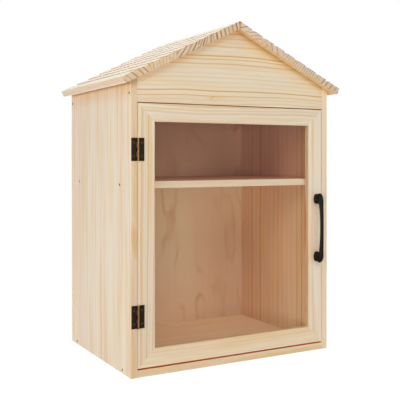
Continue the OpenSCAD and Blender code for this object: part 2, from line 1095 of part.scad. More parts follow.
left_side_panel();
right_side_panel();
bottom_board();
shelf();
back_panel();
front_gable_board();
rear_gable_board();
left_roof_panel();
right_roof_panel();
bottom_nails();
shelf_nails();
gable_nails();
roof_nails();
back_nails();
upper_frame_leaf();
lower_frame_leaf();
upper_hinge_pin();
lower_hinge_pin();
frame_leaf_screws();
catch_housing();
catch_magnet();
catch_pole_plates();
catch_screws();
door_hinge_stile();
door_handle_stile();
door_top_rail();
door_bottom_rail();
door_pane();
left_bead();
right_bead();
top_bead();
bottom_bead();
bead_pins();
upper_door_leaf();
lower_door_leaf();
door_leaf_screws();
pull_handle();
handle_screws();
strike_plate();
strike_screws();
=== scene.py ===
# %% [markdown]
# # A pine book cabinet, from the packed frame to a finished picture
#
# The object is a small house of bare pine boards with a stepped gable roof, one shelf, and a glazed door
# on two small hinges. The packed model gives every board, nail and leaf in its true place. This script adds
# a camera, light, a floor, the finish of each material, and finer shapes for the cast handle and the pane.
# Everything is in metres. +X is to the right, +Y to the back, +Z up, and the origin is on the ground.

import math

import bmesh
import bpy
import numpy as np
from mathutils import Matrix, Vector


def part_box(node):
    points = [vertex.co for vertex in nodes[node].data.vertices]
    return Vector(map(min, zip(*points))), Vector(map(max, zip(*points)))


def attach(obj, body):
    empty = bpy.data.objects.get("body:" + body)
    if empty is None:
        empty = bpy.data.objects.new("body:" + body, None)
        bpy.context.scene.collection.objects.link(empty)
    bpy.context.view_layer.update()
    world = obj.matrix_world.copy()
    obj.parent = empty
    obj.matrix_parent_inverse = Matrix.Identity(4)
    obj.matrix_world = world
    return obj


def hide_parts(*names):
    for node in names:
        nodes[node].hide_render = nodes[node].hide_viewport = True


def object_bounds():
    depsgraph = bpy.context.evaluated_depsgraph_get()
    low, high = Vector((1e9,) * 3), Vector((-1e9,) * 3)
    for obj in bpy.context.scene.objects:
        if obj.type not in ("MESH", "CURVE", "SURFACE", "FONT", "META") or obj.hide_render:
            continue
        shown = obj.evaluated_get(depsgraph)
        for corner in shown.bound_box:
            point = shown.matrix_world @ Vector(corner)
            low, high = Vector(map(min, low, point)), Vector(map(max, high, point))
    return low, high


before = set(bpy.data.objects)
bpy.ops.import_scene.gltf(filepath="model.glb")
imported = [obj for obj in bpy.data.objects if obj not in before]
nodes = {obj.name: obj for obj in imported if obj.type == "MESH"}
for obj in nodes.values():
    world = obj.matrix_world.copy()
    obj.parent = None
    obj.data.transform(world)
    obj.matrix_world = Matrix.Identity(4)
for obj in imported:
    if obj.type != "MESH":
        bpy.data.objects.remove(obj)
cad_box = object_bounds()
size_mm = [round(1000 * (high - low), 1) for low, high in zip(*cad_box)]


def add_object(name, data):
    """A new object in the scene."""
    made = bpy.data.objects.new(name, data)
    bpy.context.scene.collection.objects.link(made)
    return made


print("nodes:", len(nodes), "size in mm:", size_mm)

# %% [markdown]
# ## The camera
#
# The picture is taken from the left of the front, a little below the roof, with a long lens and the camera
# almost level: the uprights stay upright. The horizon lies above the middle of the picture, which on a real
# camera is a lens moved down, and in Blender a negative shift. Place, turn and lens come from matching the
# corners of the boards to where they are seen.

# %% Camera
CAMERA_PLACE = (-0.68124, -1.24188, 0.36026)
CAMERA_YAW = 0.50628  # radians from +Y towards +X
CAMERA_PITCH = -0.00683
CAMERA_ROLL = -0.00044
FRAME_WIDE = 400  # the picture's own units, for the lens and the shift
FOCAL = 731.51
HORIZON = 163.34
SENSOR = 36.0

forward = np.array([
    math.sin(CAMERA_YAW) * math.cos(CAMERA_PITCH),
    math.cos(CAMERA_YAW) * math.cos(CAMERA_PITCH),
    math.sin(CAMERA_PITCH),
])
level = np.array([math.cos(CAMERA_YAW), -math.sin(CAMERA_YAW), 0.0])
upward = np.cross(level, forward)
right = level * math.cos(CAMERA_ROLL) + upward * math.sin(CAMERA_ROLL)
top = upward * math.cos(CAMERA_ROLL) - level * math.sin(CAMERA_ROLL)

camera_data = bpy.data.cameras.new("portrait_camera")
camera_data.sensor_width = SENSOR
camera_data.lens = FOCAL * SENSOR / FRAME_WIDE
camera_data.shift_y = (HORIZON - FRAME_WIDE / 2) / FRAME_WIDE
camera = add_object("portrait_camera", camera_data)
placed = np.eye(4)
placed[:3] = np.column_stack((right, top, -forward, CAMERA_PLACE))
camera.matrix_world = Matrix(placed.tolist())
bpy.context.scene.camera = camera
print("lens:", round(camera_data.lens, 2), "mm, shift:", round(camera_data.shift_y, 4))

# %% [markdown]
# ## Arithmetic on shader sockets
#
# A finish is mostly arithmetic on numbers that change over the surface. As a list of Math nodes that is hard
# to read. So one small class wraps a socket and turns + - * / into Math nodes, and one bench per material
# makes every other node: its settings first, then the values or links of its sockets.

# %% Sockets and the bench
class Value:
    """One output socket. + - * / on it add a Math node and give a new Value."""

    def __init__(self, bench, socket):
        self.bench = bench
        self.socket = socket

    def math(self, operation, first, second=0.0):
        return self.bench.node("Math", {"operation": operation}, {0: first, 1: second})

    def __add__(self, other):
        return self.math("ADD", self, other)

    def __radd__(self, other):
        return self.math("ADD", other, self)

    def __sub__(self, other):
        return self.math("SUBTRACT", self, other)

    def __rsub__(self, other):
        return self.math("SUBTRACT", other, self)

    def __mul__(self, other):
        return self.math("MULTIPLY", self, other)

    def __rmul__(self, other):
        return self.math("MULTIPLY", other, self)

    def __truediv__(self, other):
        return self.math("DIVIDE", self, other)

    def floor(self):
        return self.math("FLOOR", self)

    def root(self):
        return self.math("SQRT", self)


class Bench:
    """The node tree of a new material, or of the world. node() makes a node and gives one of its sockets."""

    def __init__(self, owner):
        self.owner = bpy.data.materials.new(owner) if isinstance(owner, str) else owner
        self.owner.use_nodes = True
        self.tree = self.owner.node_tree
        self.tree.nodes.clear()

    def node(self, kind, settings=None, sockets=None, out=0):
        made = self.tree.nodes.new("ShaderNode" + kind)
        for name, value in (settings or {}).items():
            if name == "steps":
                made.color_ramp.interpolation = "CONSTANT"
                while len(made.color_ramp.elements) < len(value):
                    made.color_ramp.elements.new(0.99)
                for element, (place, level) in zip(made.color_ramp.elements, value):
                    element.position = place
                    element.color = (*level, 1)
            else:
                setattr(made, name, value)
        for name, value in (sockets or {}).items():
            if isinstance(value, Value):
                self.tree.links.new(value.socket, made.inputs[name])
            else:
                made.inputs[name].default_value = value
        return Value(self, made.outputs[out])

    def end(self, shader):
        """Links a shader to the output node, and gives the finished material or world."""
        kind = "World" if isinstance(self.owner, bpy.types.World) else "Material"
        output = self.tree.nodes.new("ShaderNodeOutput" + kind)
        self.tree.links.new(shader.socket, output.inputs["Surface"])
        return self.owner

    def place(self):
        """The point of the surface in the object's own metres."""
        return self.node("TexCoord", out="Object")

    def dot(self, vector, direction):
        return self.node("VectorMath", {"operation": "DOT_PRODUCT"}, {0: vector, 1: direction}, "Value")

    def along(self, direction):
        """How far the point lies along a direction, in metres."""
        return self.dot(self.place(), direction)

    def point(self, x, y, z):
        return self.node("CombineXYZ", None, {0: x, 1: y, 2: z})

    def noise(self, point, scale=1.0, detail=2.0, rough=0.5):
        """Smooth noise from 0 to 1, round 0.5."""
        return self.node("TexNoise", None, {"Vector": point, "Scale": scale, "Detail": detail, "Roughness": rough})

    def chance(self, number):
        """Three random numbers from 0 to 1 that stay the same for the same whole number."""
        return self.parts(self.node("TexWhiteNoise", {"noise_dimensions": "1D"}, {"W": number}, "Color"))

    def parts(self, mixed):
        """The red, green and blue of a colour, each as a number of its own."""
        return [self.node("SeparateColor", None, {0: mixed}, part) for part in range(3)]

    def grey(self, level):
        """A grey of the given level."""
        return self.node("CombineColor", None, {0: level, 1: level, 2: level})

    def rise(self, value, start, end):
        """0 up to start, 1 from end on, and a soft S between them."""
        return self.node("MapRange", {"interpolation_type": "SMOOTHSTEP"}, {0: value, 1: start, 2: end})

    def mix(self, share, first, second, how="MIX"):
        """A colour between first and second, or first treated with second as in how."""
        first, second = (part if isinstance(part, Value) else (*part[:3], 1) for part in (first, second))
        return self.node("Mix", {"data_type": "RGBA", "blend_type": how}, {0: share, 6: first, 7: second}, 2)


print("a Value knows:", [name.strip("_") for name, part in vars(Value).items() if callable(part)])

# %% [markdown]
# A colour is easy to judge as it looks on a screen, from 0 to 255. A shader works with linear numbers, where
# half the number is half the light, so every finish gets its colours through one function.

# %% Colours as seen on screen
def colour(red, green, blue):
    """A colour of 0 to 255 as seen on screen, as the linear numbers that a shader wants."""
    seen = np.array([red, green, blue]) / 255
    linear = np.where(seen <= 0.04045, seen / 12.92, ((seen + 0.055) / 1.055) ** 2.4)
    return (*(float(part) for part in linear), 1.0)


print("a pale pine in linear numbers:", [round(part, 3) for part in colour(227, 209, 186)])

# %% [markdown]
# ## Floor, background and light
#
# The picture has a plain white surround and light from everywhere, a little more of it from the upper left.
# So the world is white to the camera and to what glass and metal mirror, and a plain soft light to everything
# else. The floor is white in the same way, and a share of it takes real light and keeps a faint shadow.

# %% World and floor
AMBIENT = 0.03  # strength of the plain light from all round
FLOOR_GLOW = 0.85  # share of plain white near the object, the rest being paint that takes shadow
NEAR_WHITE = 1.12  # how bright that share is, to make up for the darker paint
FLOOR_FADE = (0.25, 0.9)  # metres from the middle, between which the shadow fades out


def seen_directly(bench):
    """1 for rays from the camera, from glossy and from clear surfaces, and 0 for those that only carry light."""
    rays = [bench.node("LightPath", out=name) for name in ("Is Camera Ray", "Is Glossy Ray", "Is Transmission Ray")]
    return bench.node("Math", {"operation": "ADD", "use_clamp": True}, {0: rays[0] + rays[1], 1: rays[2]})


world = bpy.data.worlds.new("white_room")
bpy.context.scene.world = world
room = Bench(world)
room_light = room.node("Background", None, {"Color": (1.0, 0.985, 0.96, 1), "Strength": AMBIENT})
room_white = room.node("Background", None, {"Color": (1, 1, 1, 1)})
room.end(room.node("MixShader", None, {0: seen_directly(room), 1: room_light, 2: room_white}))

floor_bench = Bench("white_floor")
from_middle = floor_bench.node("VectorMath", {"operation": "LENGTH"}, {0: floor_bench.place()}, "Value")
floor_far = floor_bench.rise(from_middle, *FLOOR_FADE)
floor_white = floor_bench.mix(floor_far, [NEAR_WHITE] * 3, [1] * 3)
floor_paint = floor_bench.node("BsdfDiffuse", None, {"Color": (0.9, 0.9, 0.9, 1)})
floor_glow = floor_bench.node("Emission", None, {"Color": floor_white})
floor_share = seen_directly(floor_bench) * (floor_far * (1 - FLOOR_GLOW) + FLOOR_GLOW)
floor_shader = floor_bench.node("MixShader", None, {0: floor_share, 1: floor_paint, 2: floor_glow})

floor_mesh = bpy.data.meshes.new("floor")
FLOOR_HALF = 6.0
FLOOR_DROP = -0.0004  # just under the boards, so the two faces never fight
floor_mesh.from_pydata(
    [(x * FLOOR_HALF, y * FLOOR_HALF, FLOOR_DROP) for x, y in ((-1, -1), (1, -1), (1, 1), (-1, 1))],
    [], [(0, 1, 2, 3)],
)
floor = add_object("floor", floor_mesh)
floor.data.materials.append(floor_bench.end(floor_shader))
print("floor half side in metres:", FLOOR_HALF)

# %% [markdown]
# Large soft lamps shape the object. The strongest, at the left, makes that side a little lighter than the front.
# Two hang high in front and one over the roof. One low at the left and one in front at the right reach through
# the pane to the shelves. The last three light the back and the right side, where the picture doesn't look.

# %% Lamps
MIDDLE = (0.0, 0.0, 0.3)


def soft_lamp(name, place, wide, high, watts):
    """A lamp that looks to the middle of the object, and that the camera itself doesn't see."""
    data = bpy.data.lights.new(name, "AREA")
    data.shape = "RECTANGLE"
    data.size = wide
    data.size_y = high
    data.energy = watts
    lamp = add_object(name, data)
    lamp.visible_camera = False
    outward = np.array(place, float) - np.array(MIDDLE)
    outward /= np.linalg.norm(outward)
    sideways = np.cross((0.0, 0.0, 1.0), outward)
    sideways /= np.linalg.norm(sideways)
    turned = np.eye(4)
    turned[:3] = np.column_stack((sideways, np.cross(outward, sideways), outward, place))
    lamp.matrix_world = Matrix(turned.tolist())


for name, place, wide, high, watts in (
    ("left", (-4.2, -1.2, 0.5), 1.6, 1.6, 102),
    ("roof", (0.0, 0.1, 3.6), 1.8, 1.8, 34),
    ("high_front", (-0.9, -3.6, 2.9), 1.8, 1.8, 60),
    ("high_left", (-2.6, -3.2, 2.6), 1.8, 1.8, 17),
    ("right_front", (1.2, -5.0, 0.9), 1.6, 2.6, 44),
    ("low_left", (-3.0, -4.0, 0.26), 2.2, 0.45, 36),
    ("rear", (1.2, 2.2, 1.6), 2.0, 2.0, 18),
    ("low_rear", (1.5, 3.8, 0.36), 1.0, 0.5, 50),
    ("right", (4.0, 1.6, 0.6), 1.4, 1.0, 50),
):
    soft_lamp(name + "_lamp", place, wide, high, watts)
print("lamps:", len(bpy.data.lights))

# %% [markdown]
# ## Directions and measures
#
# A finish goes by the board's own directions: along the grain, across it, and through its thickness. Most
# boards lie square to the room, and the two roof panels slope.

# %% Directions
RIGHT, BACK, UP = (1.0, 0.0, 0.0), (0.0, 1.0, 0.0), (0.0, 0.0, 1.0)
PITCH = math.radians(26)
down_right = (math.cos(PITCH), 0.0, -math.sin(PITCH))
down_left = (-math.cos(PITCH), 0.0, -math.sin(PITCH))
off_right = (math.sin(PITCH), 0.0, math.cos(PITCH))
off_left = (-math.sin(PITCH), 0.0, math.cos(PITCH))


def away(direction):
    """The opposite direction."""
    return tuple(-part for part in direction)


def middle_of(node, direction):
    """How far the middle of a packed node lies along a direction."""
    low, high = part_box(node)
    return float(np.dot((np.array(low) + np.array(high)) / 2, direction))


FRONT, DOWN, LEFT = away(BACK), away(UP), away(RIGHT)
ROOF_UNDERSIDE = float(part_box("front_gable_board")[1][2]) * math.cos(PITCH)  # along off_left and off_right
print("roof underside in mm:", round(1000 * ROOF_UNDERSIDE, 1))

# %% [markdown]
# One packed node holds all nails of the shelf. A hammer bruises the wood round each head, and the shade of the
# set head is painted there too. So the nails are told apart: points that an edge joins take the same label, and each
# label that is left is one solid.

# %% Solids of a node
SIDE_NAILS = ("bottom_nails", "shelf_nails", "gable_nails")
WALL = {"left_side_panel": -0.202, "right_side_panel": 0.202}  # where the outer face of a side panel lies


def points_of(mesh):
    """The corners of a mesh, one row of x, y and z for each."""
    points = np.empty(3 * len(mesh.vertices))
    mesh.vertices.foreach_get("co", points)
    return points.reshape(-1, 3)


def end_of(node, direction):
    """How far a node reaches along a direction."""
    return float((points_of(nodes[node].data) @ np.array(direction)).max())


def solids_of(node):
    """The lowest and highest corner of every separate solid of a node."""
    mesh = nodes[node].data
    points = points_of(mesh)
    ends = np.empty(2 * len(mesh.edges), int)
    mesh.edges.foreach_get("vertices", ends)
    first, second = ends.reshape(-1, 2).T
    label, before = np.arange(len(points)), None
    while not np.array_equal(label, before):
        before = label.copy()
        lowest = np.minimum(label[first], label[second])
        np.minimum.at(label, first, lowest)
        np.minimum.at(label, second, lowest)
    return [(points[label == one].min(axis=0), points[label == one].max(axis=0)) for one in np.unique(label)]


def heads_in(wall_x):
    """The places of the nail heads in the outer face of a side panel."""
    heads = []
    for low, high in (solid for node in SIDE_NAILS for solid in solids_of(node)):
        if low[0] * wall_x > 0:
            heads.append((wall_x, float(low[1] + high[1]) / 2, float(low[2] + high[2]) / 2))
    return heads


print("nail heads in the left side:", len(heads_in(WALL["left_side_panel"])))

# %% [markdown]
# ## Pine
#
# A board is a slice of a log, and its figure is where the slice cuts the year rings. So the finish starts
# from the log: the distance of a point from the pith gives the rings, a bent and leaning pith gives the
# arches and wavy lines on flat faces, and the end grain comes by itself from the same numbers.
#
# A wide panel is glued from strips, each with a pith of its own. In the side panels chance picks the piths.
# Along the verge of the roof the strips show their ends, and the rings turn this way and that, so each strip
# there is a row of facts. Two colour ramps that step at the joints hold the rows.

# %% Glued strips
SLOPE_MM = 250.0  # a little more than a roof panel is long, from the ridge to the eave
WIDEST_RING_MM = 20.0


def glued_strips(bench, a, rows):
    """The facts of the strip at a metres from the ridge: its middle, its pith's angle, and the rest of its row.

    A row has the strip's start in mm, the angle in degrees, the ring width in mm, the strength of the dark lines,
    the share of a year that stays pale, and a phase.
    """
    starts = [row[0] for row in rows]
    first, second = [], []
    for (start, angle, wide, force, thin, phase), end in zip(rows, starts[1:] + [SLOPE_MM]):
        first.append((start / SLOPE_MM, (angle / 180 + 0.5, wide / WIDEST_RING_MM, force)))
        second.append((start / SLOPE_MM, ((start + end) / 2 / SLOPE_MM, thin, phase)))
    share = a / (SLOPE_MM / 1000)
    angle, wide, force = bench.parts(bench.node("ValToRGB", {"steps": first}, {0: share}))
    middle, thin, phase = bench.parts(bench.node("ValToRGB", {"steps": second}, {0: share}))
    return middle * (SLOPE_MM / 1000), (angle - 0.5) * math.pi, wide * (WIDEST_RING_MM / 1000), force, thin, phase


# start, angle, ring, force, thin, phase
LEFT_STRIPS = (
    (0, 11, 8.4, 1, 0.44, 0), (63, 24, 9, 1, 0.4, 0.3), (75, 45, 4.3, 1, 0.35, 0),
    (95, 58, 6.8, 1, 0.34, 0.2), (140, 30, 5, 0.25, 0.5, 0), (150, 20, 6, 0.35, 0.5, 0),
    (172, 10, 7, 0.3, 0.5, 0), (195, -30, 9.5, 0.9, 0.7, 0),
)
RIGHT_STRIPS = (
    (0, -52, 8, 0.8, 0.7, 0), (24, -58, 6, 0.5, 0.65, 0), (52, 49, 4, 0.3, 0.5, 0),
    (66, 38, 10.5, 0.9, 0.76, 0), (108, -18, 5.5, 0.4, 0.6, 0), (155, -8, 4.9, 1, 0.62, 0),
    (184, -8, 5, 0.7, 0.5, 0), (200, -22, 9.5, 1, 0.76, 0),
)
print("strips in the roof panels:", len(LEFT_STRIPS), len(RIGHT_STRIPS))

# %% [markdown]
# In each year the wood is pale at first and darkens slowly, and the next year starts pale at once. That sharp
# edge on one side is what makes the lines look like wood.

# %% Year rings
LUCKY_REACH = 0.03  # metres that chance may add to far, a pith's least distance
DARKEST = 0.84  # share of the year at which the late wood is darkest
YEAR_ENDS = (0.88, 1.0)  # shares of the year between which the dark line ends


def year_rings(bench, grain, across, through, centre, middle, seed, strip=2.0, shift=0.0, ring=0.005, far=0.05,
               lean=0.3, spread=0.3, bend=0.010, slip=0.02, thin=0.3, uneven=2.0, strips=()):
    """The rings of a board: the share of dark late wood at a point, and the random numbers of its strip.

    The point is split into g along the grain, a across the strips and t through the board. In its strip it lies
    at s from the strip's middle, and the strip's pith lies at reach * (cos angle, sin angle), moved by slow noise
    of g and by slip * g. The distance to the pith over the ring width, less its whole part, runs from 0 to 1 in
    each year. Strips, if given, are rows for glued_strips.
    """
    g = bench.along(grain)
    a = bench.along(across) - centre
    t = bench.along(through) - middle
    if strips:
        strip_middle, angle, ring, force, thin, phase = glued_strips(bench, a, strips)
        s = a - strip_middle
        number = strip_middle * 997.0  # sets the random numbers of two strips apart
        luck = [*bench.chance(number + seed)[:2], force]
    else:
        count = a / strip + (shift + 40.5)  # the 40 keeps each strip's number above 0
        number = count.floor()
        s = (count - number - 0.5) * strip
        luck = bench.chance(number + seed)
        angle = luck[0] * (2 * spread) + (lean - spread)
        phase = 0.0
    reach = luck[1] * LUCKY_REACH + far
    slow = bench.node("TexNoise", None, {
        "Vector": bench.point(g * 3.0 + seed, a * 6.0, t * 6.0), "Scale": 1.0, "Detail": 2.0, "Roughness": 0.45,
    }, "Color")
    sway = [part - 0.5 for part in bench.parts(slow)]
    drift = (luck[2] - 0.5) * slip * g
    side = s - reach * bench.node("Math", {"operation": "COSINE"}, {0: angle}) + sway[0] * bend + drift
    depth = t - reach * bench.node("Math", {"operation": "SINE"}, {0: angle}) + sway[1] * bend
    radius = (side * side + depth * depth).root()
    hurried = bench.noise(bench.point(radius * 90, number + seed, 0.0), detail=1.0)
    years = radius / ring + hurried * uneven + phase
    year = years.floor()
    season = years - year
    strength = bench.chance(year + number * 31 + seed)[0]
    weight = strength * 0.55 + 0.45 if strips else strength * strength * 0.8 + 0.2
    late = bench.rise(season, thin, DARKEST) * (1 - bench.rise(season, *YEAR_ENDS)) * weight
    return late, luck


print("year rings ready")

# %% [markdown]
# The colour goes from a pale early wood, creamy or slightly pink, to the orange of the late wood. On the
# face of a board the late wood is faint, and soft honey streaks run with it. On the end grain, where the
# fibres drink light, the lines are strong and brown.
#
# A tone multiplies that colour. No two boards of pine match: each has a tone from its log, and sawn edges are
# deeper. Other tones paint light and shade: painted light and shade inside the cabinet, warm painted shade under
# the roof, and painted light in some creases and gaps.

# %% Colours and tones of the pine
CREAM = colour(233, 219, 197)
BLUSH = colour(231, 211, 192)
HONEY = colour(226, 192, 140)
LATE = colour(206, 158, 92)
YELLOW_LATE = colour(212, 164, 92)
END_LATE = colour(140, 86, 50)
# the wood round a nail head: a bruise with the painted shade of the set head
NAIL_BRUISE_AND_SHADE = colour(126, 74, 28)
JOINT = colour(176, 112, 60)
PLAIN = (1.0, 1.0, 1.0)

# painted warm bounce light and shade on faces that look into the cabinet, deeper shade above the shelf
PAINTED_INSIDE_LIGHT = (1.12, 0.86, 0.66)
PAINTED_UPPER_SHADE = (0.99, 0.62, 0.45)

# painted shade under the roof, and painted light that lifts the crease under the left verge
PAINTED_SHELTER_SHADE = (1.0, 0.80, 0.60)
PAINTED_EAVE_SHADE = (0.86, 0.71, 0.53)
SHADY = (0.93, 0.86, 0.72)
LIT_CREASE = (1.28, 1.13, 0.94)
PAINTED_MUSTARD_SHADE = (0.86, 0.75, 0.50)

# painted light on the roof panels' upper faces and eave edges, and painted shade on their undersides
PAINTED_TOP_LIGHT = (1.03, 1.10, 1.20)
PAINTED_UNDERSIDE_SHADE = (1.02, 0.85, 0.60)
PAINTED_EAVE_LIGHT = (1.20, 1.32, 1.30)

# sawn edges, and painted light on the sides of narrow gaps
PANEL_EDGE = (0.86, 0.78, 0.67)
PAINTED_GAP_LIGHT = (1.22, 1.02, 0.78)
print("tone of a sheltered face:", PAINTED_SHELTER_SHADE)

# %% [markdown]
# A tone finds its place by where the surface looks and lies. A face is known by its normal, painted shade under
# the roof by the distance from the roof, and a single mark, such as a knot or a red streak, by a soft oval.

# %% Where a tone goes
BRUISE_AND_SHADE = (0.0019, 0.0030)  # metres from the middle of a nail's head, between which the bruise and its painted shade fade


def looks_to(bench, direction, start=0.6, end=0.9):
    """1 on the faces that look in a direction, and 0 on the others."""
    return bench.rise(bench.dot(bench.node("TexCoord", out="Normal"), direction), start, end)


def either_way(bench, direction):
    """1 on the faces that look in a direction or in the opposite one."""
    return looks_to(bench, direction) + looks_to(bench, away(direction))


def times(bench, share, base, tone):
    """The base colour, multiplied by a tone where the share is 1."""
    return bench.mix(share, base, bench.mix(1.0, base, tone, "MULTIPLY"))


def roof_shade_mask(bench, off, reach):
    """Near 1 where a board meets the underside of one roof panel, and 0 from reach metres below it. Shade is painted
    there.
    """
    return 1 - bench.rise(ROOF_UNDERSIDE - bench.along(off), -0.004, reach)


def spot(bench, facing, middle, long_way, long, wide):
    """1 in the middle of a soft oval spot on the faces that look to facing, and 0 from its rim on."""
    wide_way = tuple(float(part) for part in np.cross(facing, long_way))
    u = (bench.along(long_way) - float(np.dot(middle, long_way))) / long
    v = (bench.along(wide_way) - float(np.dot(middle, wide_way))) / wide
    return looks_to(bench, facing) * (1 - bench.rise(u * u + v * v, 0.0, 1.0))


def above_shelf(bench):
    """1 above the middle of the shelf's thickness, and 0 below it."""
    height = middle_of("shelf", UP)
    return bench.rise(bench.along(UP), height - 0.003, height + 0.003)


def near_nails(bench, heads):
    """1 on the wood round nail heads, which is bruised and holds painted shade, and 0 a little further out."""
    nearest = 1.0
    for head in heads:
        distance = bench.node("VectorMath", {"operation": "DISTANCE"}, {0: bench.place(), 1: head}, "Value")
        nearest = bench.node("Math", {"operation": "MINIMUM"}, {0: nearest, 1: distance})
    return 1 - bench.rise(nearest, *BRUISE_AND_SHADE)


print("middle of the shelf in mm:", round(1000 * middle_of("shelf", UP), 1))

# %% [markdown]
# A roof panel has painted light on the upper faces of its courses and on its eave edge, and a painted tone on
# its underside: warm shade on the right panel, light on the left. Its risers are mixed towards the orange of the
# late wood, more strongly towards the eave. A dark line marks the joint at the ridge.

# %% The faces of a roof panel
def roof_faces(bench, base, ends, downhill, off, ridge, eave, underside_light):
    """The base colour of a roof panel with its courses, underside, eave edge, risers and ridge joint."""
    # painted light on the faces that look up from the slope
    base = times(bench, looks_to(bench, off), base, PAINTED_TOP_LIGHT)
    # the underside gets painted shade, or painted light where underside_light is above one
    base = times(bench, looks_to(bench, away(off)), base, underside_light)
    slanting = [(one - other) / math.sqrt(2) for one, other in zip(downhill, off)]
    # painted light on the eave's slanting edge
    base = times(bench, looks_to(bench, slanting, 0.92, 0.98), base, PAINTED_EAVE_LIGHT)
    down = bench.along(downhill)
    # the risers are mixed towards the orange late-wood colour, more strongly towards the eave
    riser = looks_to(bench, downhill) * (1 - bench.rise(down, eave - 0.006, eave - 0.003))
    base = bench.mix(riser * (bench.rise(down - ridge, 0.06, 0.20) * 0.35 + 0.45), base, LATE)
    off_joint = bench.node("Math", {"operation": "ABSOLUTE"}, {0: bench.along(RIGHT)})
    return bench.mix((1 - bench.rise(off_joint, 0.0006, 0.0020)) * ends * 0.8, base, JOINT)


print("left eave down the slope in mm:", round(1000 * end_of("left_roof_panel", down_left), 1))

# %% [markdown]
# One function finishes any board: first the figure, then the tones of the board, its faces and its marks, and
# last the dull, sanded, bare surface, a trace rougher in the soft early wood.

# %% The finish of a pine board
def pine(name, grain, across, through, centre, middle, seed, contrast=0.5, bold=None, streaks=0.6, fine=95, dark=LATE,
         tone=PLAIN, edge=PLAIN, other_edge=None, ends_tone=PLAIN, inner=PAINTED_INSIDE_LIGHT, inward=(), roof_shade=(), marks=(),
         heads=(), eave=None, underside_light=PAINTED_UNDERSIDE_SHADE, **log):
    """A sanded pine finish whose grain, strips and thickness run along three given directions.

    Contrast is the strength of the rings on the faces, and bold the same on the face that looks inward. A mark is
    an oval for spot and its tone. Only a roof panel has an eave, how far it reaches down the slope. Log is for
    year_rings.
    """
    bench = Bench(name)
    late, luck = year_rings(bench, grain, across, through, centre, middle, seed, **log)
    g, a, t = (bench.along(direction) for direction in (grain, across, through))
    tint = bench.noise(bench.point(g * 3.0 + seed, a * 26, t * 26))
    wander = bench.noise(bench.point(g * 9 + seed, a * 14, t * 14), detail=1.0) - 0.5
    honey = bench.noise(bench.point(g * 4.0 + seed + 9, (a + wander * 0.012) * fine, t * fine), rough=0.6)
    ends = either_way(bench, grain)
    is_roof = eave is not None
    figured = 1 - looks_to(bench, through) if is_roof else 1.0
    lines = contrast if bold is None else looks_to(bench, inward[0]) * (bold - contrast) + contrast
    base = bench.mix(bench.rise(tint, 0.35, 0.65) * figured, CREAM, BLUSH)
    base = bench.mix(bench.rise(honey, 0.42, 0.72) * figured * streaks, base, HONEY)
    base = bench.mix(late * figured * lines, base, dark)
    base = bench.mix(late * ends * (luck[2] if "strips" in log else luck[2] * 0.6 + 0.4), base, END_LATE)
    base = bench.mix(1.0, base, tone, "MULTIPLY")
    base = times(bench, ends, base, ends_tone)
    base = times(bench, looks_to(bench, across), base, edge)
    base = times(bench, looks_to(bench, away(across)), base, edge if other_edge is None else other_edge)
    # inside is a painted tone for the inward faces: warm bounce light and shade below the shelf, deeper shade above
    # it
    inside = bench.mix(above_shelf(bench), inner, PAINTED_UPPER_SHADE)
    for direction in inward:
        base = times(bench, looks_to(bench, direction), base, inside)
    # painted shade under the roof, fading with the distance from it, and painted light in the gable's left crease
    for off, reach, shade_tone in roof_shade:
        base = times(bench, roof_shade_mask(bench, off, reach) * (bench.rise(honey, 0.2, 0.7) * 0.3 + 0.8), base, shade_tone)
    for *oval, stain in marks:
        base = times(bench, spot(bench, *oval), base, stain)
    if heads:
        base = bench.mix(near_nails(bench, heads) * 0.8, base, NAIL_BRUISE_AND_SHADE)
    if is_roof:
        base = roof_faces(bench, base, ends, across, through, centre, eave, underside_light)
    shade = 1 - (luck[2] - 0.5) * 0.05 * figured + (honey - 0.5) * 0.05 * figured - ends * 0.04
    height = late * ends if is_roof else late
    return bench.end(bench.node("BsdfPrincipled", None, {
        "Base Color": bench.mix(1.0, base, bench.grey(shade), "MULTIPLY"),
        "Roughness": 0.6 - late * 0.08 + (honey - 0.5) * 0.1,
        "Specular IOR Level": 0.3,
        "Normal": bench.node("Bump", None, {"Strength": 0.12, "Distance": 0.0001, "Height": height}),
    }))


print("pine ready")

# %% [markdown]
# ## Which way each board runs
#
# The grain of a board follows its longest side, because that is how wood is strong: upright in the side
# panels and stiles, across in the shelf, the bottom, the gables and the rails. In the roof panels it runs
# from front to back, so the verge shows end grain. Each board gets its own seed, as each comes from another log.
#
# The marks are a strip of amber wood on the left panel's front edge, painted shade in the gap under the door, a
# small knot on the gable, and on the inner wall at the right painted light near the floor and painted shade by the
# stile and in the far corner.

# %% The cabinet's boards
UPRIGHT = dict(grain=UP, across=BACK, through=RIGHT)
SHELF = dict(grain=RIGHT, across=BACK, through=UP, strip=0.06, ring=0.006, lean=0.6)
CROSSWISE = dict(grain=RIGHT, across=UP, through=BACK)
GABLE = dict(
    CROSSWISE, ring=0.0075, far=0.25, lean=0.35, bend=0.03, slip=0.06, contrast=1.1,
    uneven=1.0, streaks=0.35, thin=0.58, dark=YELLOW_LATE, tone=(0.92, 0.905, 0.85),
)
ROOF = dict(grain=BACK, far=0.12, bend=0.004, slip=0.0, uneven=0.8)

AMBER = (0.94, 0.81, 0.62)
# painted shade in the gap under the door
PAINTED_GAP_SHADE = (0.95, 0.36, 0.13)
KNOT = (0.91, 0.85, 0.75)
KNOT_GLOW = (0.98, 0.94, 0.86)
# painted light low on the right inner wall, and painted shade by the stile and in the far corner
PAINTED_LOW_LIGHT = (0.97, 1.11, 1.18)
PAINTED_STILE_SHADE = (0.85, 0.86, 0.84)
PAINTED_CORNER_SHADE = (0.86, 0.82, 0.84)

